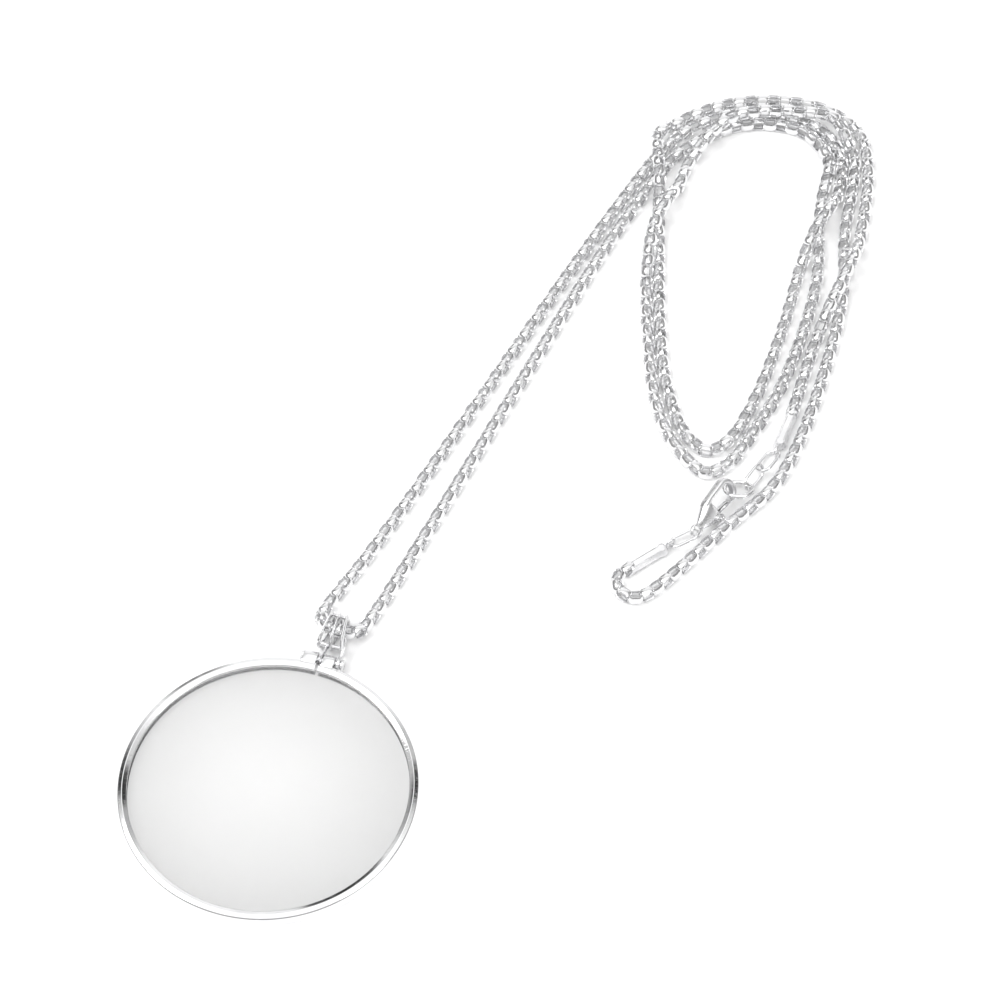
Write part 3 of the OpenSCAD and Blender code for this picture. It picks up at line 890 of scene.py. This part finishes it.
@dataclass(frozen=True)
class RimBand:
    """The rim: a split band with a groove for the lens, and two lugs at the split.

    Lengths are in millimetres. The section and the lug's top are (distance from the middle, height),
    the lugs are (from, to) along the clamp screw, and a lug's edge is (distance from its end, size).
    """

    top_angle: float = 70.0
    slit: float = 0.6
    steps: int = 220
    section: tuple[tuple[float, float], ...] = (
        (23.3, 2.25), (23.3, 2.6), (23.33, 2.65), (23.38, 2.68), (23.96, 3.01), (24.0, 3.03),
        (24.04, 3.045), (24.1, 3.045), (24.14, 3.03), (24.18, 3.012), (24.66, 2.798), (24.7, 2.78),
        (24.78, 2.72), (24.87, 2.6), (24.94, 2.44), (24.98, 2.24), (25.0, 2.05), (25.0, 1.0),
        (24.96, 0.7), (24.84, 0.42), (24.62, 0.18), (24.35, 0.04), (24.1, 0.0), (23.55, 0.0),
        (23.3, 0.25), (23.3, 0.55), (23.85, 0.55), (23.85, 2.25),
    )
    lugs: tuple[tuple[float, float], ...] = ((0.5, 2.95), (-2.55, -0.5))
    lug_top: tuple[tuple[float, float], ...] = (
        (24.1, 0.1), (24.05, 2.7), (24.25, 2.95), (24.5, 3.06), (24.8, 3.1),
    )
    lug_edge: tuple[tuple[float, float], ...] = ((0.0, 0.93), (0.03, 0.975), (0.11, 1.0))
    lug_middle: float = 25.6
    lug_end: float = 25.7
    lug_radius: float = 1.55
    lug_steps: int = 24

    def lug(self, start: float, end: float) -> bpy.types.Object:
        """Build one lug.

        Args:
            start: Where it starts along the screw.
            end: Where it ends.

        Returns:
            The object.
        """
        r = self.lug_radius
        profile = list(self.lug_top)
        for i in range(self.lug_steps + 1):
            a = math.radians(90 - 180 / self.lug_steps * i)
            profile.append((self.lug_end + r * math.cos(a), r + r * math.sin(a)))
        rows = [(start + inset, size) for inset, size in self.lug_edge]
        rows += [(end - inset, size) for inset, size in reversed(self.lug_edge)]
        middle = Vector((self.lug_middle, 0.0, r))
        rings = []
        for y, size in rows:
            at = Vector((0.0, y, 0.0))
            rings.append([middle + (Vector((x, 0.0, z)) - middle) * size + at for x, z in profile])
        return loft(f"rim_lug_{round(abs(start + end))}", rings, flat_ends=True)

    def build(self) -> bpy.types.Object:
        """Build the rim.

        Returns:
            The object.
        """
        rings = []
        for i in range(self.steps + 1):
            a = math.radians(self.slit + (360 - 2 * self.slit) * i / self.steps)
            rings.append([Vector((r * math.cos(a), r * math.sin(a), z)) for r, z in self.section])
        band = loft("rim_section", rings, flat_ends=True)
        turned = METRES @ Matrix.Rotation(math.radians(self.top_angle), 4, "Z")
        return joined("rim_band", [band, *(self.lug(start, end) for start, end in self.lugs)], turned)


@dataclass(frozen=True)
class LensDisc:
    """The lens, turned from its profile: a flat underside, a straight edge and a slightly domed top.

    Lengths are in millimetres, with the middle of the lens over the origin.
    """

    bottom: float = 0.6
    edge_height: float = 1.6
    radius: float = 23.8
    dome_reach: float = 23.25
    dome_rise: float = 0.6
    flat_rings: tuple[float, ...] = (3.0, 10.0, 17.0, 22.0)
    dome_steps: int = 12
    sides: int = 160

    def build(self) -> bpy.types.Object:
        """Turn the lens.

        Returns:
            The object.
        """
        top = self.bottom + self.edge_height
        profile = [(r, self.bottom) for r in (*self.flat_rings, self.radius)]
        profile.append((self.radius, top))
        for i in range(self.dome_steps):
            r = self.dome_reach * (1 - i / self.dome_steps)
            profile.append((r, top + self.dome_rise * (1 - (r / self.dome_reach) ** 2)))
        rings = [[p + Vector((0.0, 0.0, z)) for p in circle(r, self.sides)] for r, z in profile]
        return joined("lens_disc", [loft("lens_profile", rings)], METRES)


@dataclass(frozen=True)
class Station:
    """A section along the clasp: its middle, the way to its side, and its half width and thickness."""

    x: float
    y: float
    side: float
    half_width: float
    half_thickness: float
    sides: int = 28

    def ring(self, squareness: float) -> list[Vector]:
        """Draw the section.

        Args:
            squareness: How square it is.

        Returns:
            Its points.
        """
        a = math.radians(self.side)
        side = Vector((math.cos(a), math.sin(a), 0.0)) * self.half_width
        rise = Vector((0.0, 0.0, self.half_thickness))
        return rounded_ring(Vector((self.x, self.y, 0.0)), side, rise, squareness, self.sides)


@dataclass(frozen=True)
class LobsterClasp:
    """The clasp's body: a tail ring, a tapered shell with the lever's slot, an arm and a hook.

    Lengths are in millimetres, with the tail ring's middle as the origin and +y towards the hook. A
    section is (half width, half thickness), a row of the shell or the arm is (x, y) and its section,
    and a squareness is 2 for an ellipse and more for a squarer section.
    """

    at: Point = (73.3505, 47.2049, 2.13165)
    heading: float = 53.5
    pitch: float = 5.8
    roll: float = -55.5
    hook_x: float = -0.1
    hook_y: float = 9.0
    hook_radius: float = 1.9
    hook_end: float = -22.0
    slot_start: Point = (0.1, 3.8, -0.5)
    slot_size: Point = (6.0, 4.0, 1.0)
    hook_section: tuple[float, float] = (0.45, 0.79)
    hook_taper: tuple[float, float] = (0.04, 0.1)
    hook_steps: int = 22
    tip_section: tuple[float, float] = (0.33, 0.58)
    tip_length: float = 0.07
    tail_section: tuple[float, float] = (0.25, 0.34)
    tail_radius: float = 1.05
    tail_steps: int = 36
    shell_squareness: float = 3.2
    arm_squareness: float = 3.6
    tail_squareness: float = 2.6
    shell_rows: tuple[tuple[float, float, float, float], ...] = (
        (0.0, 0.86, 0.5, 0.3), (0.0, 0.98, 0.72, 0.42), (0.0, 1.3, 0.92, 0.54), (0.0, 1.9, 1.2, 0.7),
        (0.0, 2.6, 1.58, 0.84), (0.0, 3.3, 1.96, 0.94), (0.0, 3.9, 2.22, 0.99), (-0.02, 4.4, 2.34, 1.0),
        (-0.06, 4.8, 2.32, 0.98), (-0.12, 5.1, 2.22, 0.93), (-0.18, 5.3, 2.06, 0.84),
        (-0.22, 5.4, 1.86, 0.7),
    )
    arm_rows: tuple[tuple[float, float, float, float], ...] = (
        (0.3, 3.7, 0.5, 0.7), (0.12, 4.5, 0.6, 0.84), (0.04, 5.2, 0.55, 0.84), (0.0, 6.0, 0.48, 0.8),
        (0.0, 7.6, 0.46, 0.79),
    )

    def shell(self) -> bpy.types.Object:
        """Build the tapered shell and cut the lever's slot in it.

        Returns:
            The object.
        """
        rings = [Station(x, y, 0.0, w, t).ring(self.shell_squareness) for x, y, w, t in self.shell_rows]
        body = loft("clasp_shell", rings)
        low = Vector(self.slot_start)
        size = Vector(self.slot_size)
        ends = [(i, j, k) for i in (0, 1) for j in (0, 1) for k in (0, 1)]
        corners = [low + Vector((i * size.x, j * size.y, k * size.z)) for i, j, k in ends]
        walls = [(0, 1, 3, 2), (4, 5, 7, 6), (0, 1, 5, 4), (2, 3, 7, 6), (0, 2, 6, 4), (1, 3, 7, 5)]
        slot = mesh_object("slot_cutter", corners, [], walls)
        cut = body.modifiers.new("slot", "BOOLEAN")
        cut.object = slot
        cut.operation = "DIFFERENCE"
        cut.solver = "EXACT"
        shell = plain_mesh(body, "clasp_shell_cut")
        bpy.data.objects.remove(slot)
        return shell

    def arm(self) -> bpy.types.Object:
        """Build the arm and the hook in one sweep.

        Returns:
            The object.
        """
        left = self.hook_x - self.hook_radius
        stations = [Station(left + x, y, 180.0, w, t) for x, y, w, t in self.arm_rows]
        for i in range(self.hook_steps + 1):
            turn = 180 - (180 - self.hook_end) * i / self.hook_steps
            a = math.radians(turn)
            share = max(0.0, (90 - turn) / (90 - self.hook_end))
            x = self.hook_x + self.hook_radius * math.cos(a)
            y = self.hook_y + self.hook_radius * math.sin(a)
            w, t = (whole - less * share for whole, less in zip(self.hook_section, self.hook_taper))
            stations.append(Station(x, y, turn, w, t))
        tip = stations[-1]
        on = math.radians(self.hook_end - 90)
        x, y = tip.x + self.tip_length * math.cos(on), tip.y + self.tip_length * math.sin(on)
        stations.append(Station(x, y, tip.side, *self.tip_section))
        return loft("clasp_arm", [s.ring(self.arm_squareness) for s in stations])

    def tail(self) -> bpy.types.Object:
        """Build the tail ring.

        Returns:
            The object.
        """
        rings = []
        for i in range(self.tail_steps):
            turn = 360 * i / self.tail_steps
            x = self.tail_radius * math.cos(math.radians(turn))
            y = self.tail_radius * math.sin(math.radians(turn))
            rings.append(Station(x, y, turn, *self.tail_section).ring(self.tail_squareness))
        return loft("clasp_tail", rings, closed=True)

    def build(self) -> bpy.types.Object:
        """Build the clasp's body at its place.

        Returns:
            The object.
        """
        matrix = placing(self.at, ("Z", self.heading - 90), ("X", self.pitch), ("Y", -self.roll))
        return joined("clasp_shell_whole", [self.shell(), self.arm(), self.tail()], matrix)


@dataclass(frozen=True)
class OvalRing:
    """An oval ring of round wire at its place, in millimetres and degrees."""

    node: str
    at: Point
    heading: float
    pitch: float
    roll: float
    length: float = 5.8
    width: float = 3.2
    wire: float = 0.55

    def build(self, bender: WireBender) -> bpy.types.Object:
        """Build the ring at its place.

        Args:
            bender: What bends its wire.

        Returns:
            The object.
        """
        run = [p - Vector((self.length - self.wire, 0.0, 0.0)) / 2
               for p in stadium(self.length - self.wire, self.width - self.wire)]
        wire = bender.bend(self.node + "_wire", run, True, self.wire)
        matrix = placing(self.at, ("Z", self.heading), ("Y", -self.pitch), ("X", self.roll - 90))
        return joined(self.node + "_wire", [wire], matrix)


OVAL_RINGS = (
    OvalRing("oval_ring_1", (71.2052, 46.2074, 1.59583), 21.5, 10.0, -23.5),
    OvalRing("oval_ring_2", (84.0039, 58.1993, 1.65191), 53.0, 0.0, 65.5),
    OvalRing("oval_ring_3", (86.7018, 61.8029, 1.24596), 54.0, -4.5, -24.0),
)


@dataclass(frozen=True)
class ClaspHoop:
    """The large round ring that the clasp closes on, at its place in millimetres and degrees."""

    at: Point = (81.1088, 55.5566, 2.00191)
    heading: float = -3.5
    roll: float = -24.5
    radius: float = 2.425
    wire: float = 0.85
    steps: int = 56

    def build(self, bender: WireBender) -> bpy.types.Object:
        """Bend the ring and lay it at its place."""
        hoop = bender.bend("clasp_hoop", circle(self.radius, self.steps), True, self.wire)
        return joined("clasp_hoop", [hoop], placing(self.at, ("Z", self.heading), ("X", self.roll)))


@dataclass(frozen=True)
class EasedPart:
    """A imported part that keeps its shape, with its triangles merged and its sharp edges eased.

    Attributes:
        node: The part's node.
        name: The piece's name.
        bevel: How far the sharp edges are eased, in metres.
        merge_within: How near two points are when they are merged, in metres.
        flat_below: The angle under which two faces count as one, in degrees.
        sharp_above: The angle over which an edge counts as sharp, in degrees.
    """

    node: str
    name: str
    bevel: float
    merge_within: float = 1e-6
    flat_below: float = 2.0
    sharp_above: float = 40.0

    def build(self, nodes: dict[str, bpy.types.Object]) -> bpy.types.Object:
        """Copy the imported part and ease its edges.

        Args:
            nodes: The frame's node objects, by name.

        Returns:
            The copy.
        """
        shape = bmesh.new()
        shape.from_mesh(nodes[self.node].data)
        bmesh.ops.remove_doubles(shape, verts=shape.verts, dist=self.merge_within)
        flat = math.radians(self.flat_below)
        bmesh.ops.dissolve_limit(shape, angle_limit=flat, verts=shape.verts, edges=shape.edges)
        least = math.radians(self.sharp_above)
        sharp = [e for e in shape.edges if e.is_manifold and e.calc_face_angle() > least]
        bmesh.ops.bevel(
            shape, geom=sharp, offset=self.bevel, segments=2, profile=0.5, affect="EDGES",
            clamp_overlap=True,
        )
        return from_shape(self.name, shape)


CLAMP_SCREW = EasedPart("clamp_screw", "clamp_screw_turned", 0.00008)
CLASP_LEVER = EasedPart("clasp_lever", "lever_plate", 0.00009)
CLASP_PIN = EasedPart("clasp_pin", "lever_pin", 0.00005)


def wear_group() -> bpy.types.NodeTree:
    """Build the shared effect of plating: faint scratches, smears and uneven tone.

    Returns:
        The shader node group.
    """
    group = bpy.data.node_groups.new("plating_wear", "ShaderNodeTree")
    tree = NodeTree(group)
    tree.sockets("INPUT", "Color", ("Tone", "Shade"))
    tree.sockets("INPUT", "Float", ("Smear Size", "Scratch Size", "Gloss", "Dullness"))
    tree.sockets("OUTPUT", "Color", ("Color",))
    tree.sockets("OUTPUT", "Float", ("Roughness", "Height"))
    given = tree.add("NodeGroupInput").outputs
    place = tree.add("ShaderNodeTexCoord").outputs["Object"]
    smear = tree.add("ShaderNodeTexNoise", {"Vector": place, "Scale": given["Smear Size"], "Detail": 3.0})
    stretched = tree.add(
        "ShaderNodeMapping", {"Vector": place, "Rotation": (0.3, 0.5, 0.9), "Scale": (1.0, 9.0, 1.0)}
    )
    scratch = tree.add(
        "ShaderNodeTexNoise",
        {"Vector": stretched.outputs[0], "Scale": given["Scratch Size"], "Detail": 5.0, "Roughness": 0.7},
    )
    patch = tree.spread(smear.outputs[0], 0.35, 0.7)
    line = tree.spread(scratch.outputs[0], 0.55, 0.75)
    tone = tree.mix(patch, given["Tone"], given["Shade"])
    rough = tree.math("ADD", given["Gloss"], tree.math("MULTIPLY", patch, given["Dullness"]))
    half_dull = tree.math("MULTIPLY", given["Dullness"], 0.5)
    rough = tree.math("ADD", rough, tree.math("MULTIPLY", line, half_dull))
    height = tree.math("SUBTRACT", tree.math("MULTIPLY", patch, 0.3), line)
    tree.add("NodeGroupOutput", {"Color": tone, "Roughness": rough, "Height": height})
    return group


@dataclass(frozen=True)
class Plating:
    """A bright plated finish.

    Attributes:
        name: The material's name.
        tone: The plating's colour.
        shade: Its colour where it is a little dull.
        gloss: The least roughness.
        dullness: How much rougher the dull places are.
        smear: Smears per metre.
        scratch: Scratches per metre.
        depth: Height of the scratches.
    """

    name: str
    tone: Point = (0.84, 0.84, 0.845)
    shade: Point = (0.76, 0.76, 0.77)
    gloss: float = 0.08
    dullness: float = 0.1
    smear: float = 180.0
    scratch: float = 420.0
    depth: float = 0.00001

    def material(self, wear: bpy.types.NodeTree) -> bpy.types.Material:
        """Make the finish's material.

        Args:
            wear: The shared wear group.

        Returns:
            The material.
        """
        material = bpy.data.materials.new(self.name)
        material.use_nodes = True
        tree = NodeTree(material.node_tree)
        shader = material.node_tree.nodes["Principled BSDF"]
        effect = tree.add("ShaderNodeGroup", node_tree=wear)
        values = {"Tone": (*self.tone, 1.0), "Shade": (*self.shade, 1.0), "Smear Size": self.smear,
                  "Scratch Size": self.scratch, "Gloss": self.gloss, "Dullness": self.dullness}
        for name, value in values.items():
            effect.inputs[name].default_value = value
        bump = tree.add(
            "ShaderNodeBump", {"Height": effect.outputs["Height"], "Distance": self.depth, "Strength": 0.5}
        )
        tree.feed(shader.inputs["Base Color"], effect.outputs["Color"])
        tree.feed(shader.inputs["Roughness"], effect.outputs["Roughness"])
        tree.feed(shader.inputs["Normal"], bump.outputs[0])
        shader.inputs["Metallic"].default_value = 1.0
        return material


@dataclass(frozen=True)
class LensGlass:
    """Clear glass with a grey tint, and painted shade that darkens it towards its edge.

    Attributes:
        name: The material's name.
        middle: Its tint at the middle, where the painted shade is least.
        edge: Its tint at the edge, where the painted shade is darkest.
        painted_shade_least_at: Where the painted shade is least.
        reach: The distance from there to where the tint is that of the edge.
        falloff: How steeply the painted shade grows near the edge.
        cloud_size: Faint clouds per metre.
        cloud_depth: How strong they are.
        roughness: The surface's roughness.
        ior: Its index of refraction.
        shadow_tint: The light that it lets through to the floor.
    """

    name: str = "lens_glass"
    middle: float = 0.7
    edge: float = 0.6
    painted_shade_least_at: Point = (-0.0008, 0.0026, 0.0)
    reach: float = 0.0245
    falloff: float = 1.7
    cloud_size: float = 60.0
    cloud_depth: float = 0.12
    roughness: float = 0.02
    ior: float = 1.5
    shadow_tint: float = 0.97

    def material(self) -> bpy.types.Material:
        """Make the glass material.

        Returns:
            The material.
        """
        material = bpy.data.materials.new(self.name)
        material.use_nodes = True
        nodes = material.node_tree.nodes
        tree = NodeTree(material.node_tree)
        shader = nodes["Principled BSDF"]
        place = tree.add("ShaderNodeTexCoord").outputs["Object"]
        # Painted shade: the tint greys with the distance from the middle towards the edge, and faint random
        # clouds lie over it.
        flat = tree.vector("MULTIPLY", tree.vector("SUBTRACT", place, self.painted_shade_least_at), (1.0, 1.0, 0.0))
        radius = tree.vector("LENGTH", flat, (0.0, 0.0, 0.0), 1)
        share = tree.math("POWER", tree.math("DIVIDE", radius, self.reach), self.falloff)
        cloud = tree.add("ShaderNodeTexNoise", {"Vector": place, "Scale": self.cloud_size, "Detail": 2.0})
        uneven = tree.math("MULTIPLY", tree.math("SUBTRACT", cloud.outputs[0], 0.5), self.cloud_depth)
        tint = tree.mix(tree.math("ADD", share, uneven), grey(self.middle), grey(self.edge))
        tree.feed(shader.inputs["Base Color"], tint)
        shader.inputs["Roughness"].default_value = self.roughness
        shader.inputs["IOR"].default_value = self.ior
        shader.inputs["Transmission Weight"].default_value = 1.0
        clear = tree.add("ShaderNodeBsdfTransparent", {"Color": grey(self.shadow_tint)})
        ray = tree.add("ShaderNodeLightPath").outputs["Is Shadow Ray"]
        mix = tree.add("ShaderNodeMixShader", {0: ray, 1: shader.outputs[0], 2: clear.outputs[0]})
        tree.feed(nodes["Material Output"].inputs["Surface"], mix.outputs[0])
        return material


@dataclass(frozen=True)
class Studio:
    """The camera, the floor and the soft light.

    The room is (height of the direction, tone), the back wall is where it starts and where it is
    full, a card is (direction, size), and a lamp is (name, place, side in metres, power in watts).
    """

    look_at: Point = (0.040, 0.0567, 0.0)
    distance: float = 0.6917
    elevation: float = 55.84
    roll: float = -2.28
    focal_length: float = 144.0
    sensor: float = 36.0
    floor_size: float = 3.0
    floor_tone: float = 0.95
    room: tuple[tuple[float, float], ...] = (
        (0.0, 0.03), (0.12, 0.09), (0.25, 0.3), (0.5, 0.45), (0.7, 0.6), (0.8, 0.95), (1.0, 1.0),
    )
    room_strength: float = 1.4
    back_wall: tuple[float, float] = (0.72, 0.85)
    back_wall_tone: float = 0.8
    cards: tuple[tuple[Point, float], ...] = (
        ((-0.62, 0.6, 0.5), 0.13), ((0.68, 0.47, 0.56), 0.12), ((-0.36, 0.93, 0.04), 0.17),
    )
    card_tone: float = 0.03
    card_edge: float = 0.05
    lamps: tuple[tuple[str, Point, float, float], ...] = (
        ("key", (-0.55, 0.05, 0.75), 0.5, 4.0), ("fill", (0.6, -0.3, 0.6), 0.4, 1.2),
    )

    def camera(self) -> None:
        """Set the camera where the photograph was taken from."""
        lens = bpy.data.cameras.new("camera")
        lens.lens = self.focal_length
        lens.sensor_width = self.sensor
        lens.clip_start = 0.01
        lens.clip_end = 20.0
        camera = linked("camera", lens)
        tilt = math.radians(self.elevation)
        away = Vector((0.0, -math.cos(tilt), math.sin(tilt)))
        camera.location = Vector(self.look_at) + away * self.distance
        turned = away.to_track_quat("Z", "Y").to_matrix() @ Matrix.Rotation(math.radians(self.roll), 3, "Z")
        camera.rotation_euler = turned.to_euler()
        bpy.context.scene.camera = camera

    def floor(self) -> None:
        """Lay the plain pale floor."""
        half = self.floor_size / 2
        corners = [Vector((x * half, y * half, 0.0)) for x, y in ((-1, -1), (1, -1), (1, 1), (-1, 1))]
        plane = mesh_object("floor", corners, [], [(0, 1, 2, 3)])
        paper = bpy.data.materials.new("floor_paper")
        paper.use_nodes = True
        shader = paper.node_tree.nodes["Principled BSDF"]
        shader.inputs["Base Color"].default_value = grey(self.floor_tone)
        shader.inputs["Roughness"].default_value = 0.95
        shader.inputs["Specular IOR Level"].default_value = 0.0
        plane.data.materials.append(paper)

    def area_light(self, name: str, place: Point, size: float, power: float) -> None:
        """Hang a square soft light that faces the necklace.

        Args:
            name: The light's name.
            place: Where it hangs.
            size: Its side.
            power: Its power in watts.
        """
        data = bpy.data.lights.new(name, "AREA")
        data.shape = "SQUARE"
        data.size = size
        data.energy = power
        lamp = linked(name, data)
        lamp.location = place
        lamp.rotation_euler = (Vector(place) - Vector(self.look_at)).to_track_quat("Z", "Y").to_euler()

    def surroundings(self) -> None:
        """Give the room a pale ceiling, a dark band near the horizon, a pale back wall and dark cards."""
        world = bpy.data.worlds.new("room")
        world.use_nodes = True
        tree = NodeTree(world.node_tree)
        direction = tree.add("ShaderNodeTexCoord").outputs["Generated"]
        parts = tree.add("ShaderNodeSeparateXYZ", {0: direction}).outputs
        ramp = tree.add("ShaderNodeValToRGB", {0: parts["Z"]})
        stops = ramp.color_ramp.elements
        middle = [stops.new(place) for place, _ in self.room[1:-1]]
        for stop, (place, tone) in zip([stops[0], *middle, stops[-1]], self.room):
            stop.position = place
            stop.color = grey(tone)
        shown = tree.mix(tree.spread(parts["Y"], *self.back_wall), ramp.outputs[0], grey(self.back_wall_tone))
        for place, size in self.cards:
            away = tree.vector("DISTANCE", direction, place, 1)
            shown = tree.mix(tree.spread(away, size + self.card_edge, size), shown, grey(self.card_tone))
        back = world.node_tree.nodes["Background"]
        tree.feed(back.inputs["Color"], shown)
        back.inputs["Strength"].default_value = self.room_strength
        bpy.context.scene.world = world

    def build(self) -> None:
        """Set up the whole studio."""
        self.camera()
        self.floor()
        self.surroundings()
        for lamp in self.lamps:
            self.area_light(*lamp)
        bpy.context.scene.view_settings.view_transform = "Standard"


def main() -> None:
    """Build every piece, dress it, and report it."""
    logging.basicConfig(level=logging.INFO, format="%(name)s: %(message)s")
    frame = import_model()
    Studio().build()
    wear = wear_group()
    turned_plating = Plating("plate_turned", gloss=0.14, dullness=0.12, smear=400.0, scratch=700.0)
    link_plating = Plating(
        "plate_chain", (0.885, 0.885, 0.89), (0.8, 0.8, 0.81), 0.14, 0.08, smear=600.0, scratch=900.0
    )
    plate = Finish(Plating("plate_bright").material(wear), Slot.PLATE)
    turned = Finish(turned_plating.material(wear), Slot.PLATE)
    soft = Finish(Plating("plate_soft", gloss=0.24, dullness=0.08, smear=300.0).material(wear), Slot.PLATE)
    fine = Finish(link_plating.material(wear), Slot.CHAIN, crease=50.0)
    glass = Finish(LensGlass().material(), Slot.LENS)
    nodes = frame["nodes"]
    bender = WireBender(plate.material)

    fine.hand_over(ChainLinks().build(fine.material), "chain")
    glass.hand_over(LensDisc().build(), "lens")
    rim = RimBand().build()
    rim.visible_shadow = False
    plate.hand_over(rim, "rim")
    turned.hand_over(CLAMP_SCREW.build(nodes), CLAMP_SCREW.node)
    plate.hand_over(Bail().build(bender), "bail")
    for cap in END_CAPS:
        soft.hand_over(cap.build(bender), cap.node)
    for ring in OVAL_RINGS:
        plate.hand_over(ring.build(bender), ring.node)
    plate.hand_over(ClaspHoop().build(bender), "clasp_ring")
    soft.hand_over(LobsterClasp().build(), "clasp_body")
    plate.hand_over(CLASP_LEVER.build(nodes), CLASP_LEVER.node, LEVER_BODY)
    turned.hand_over(CLASP_PIN.build(nodes), CLASP_PIN.node)


if __name__ == "__main__":
    main()
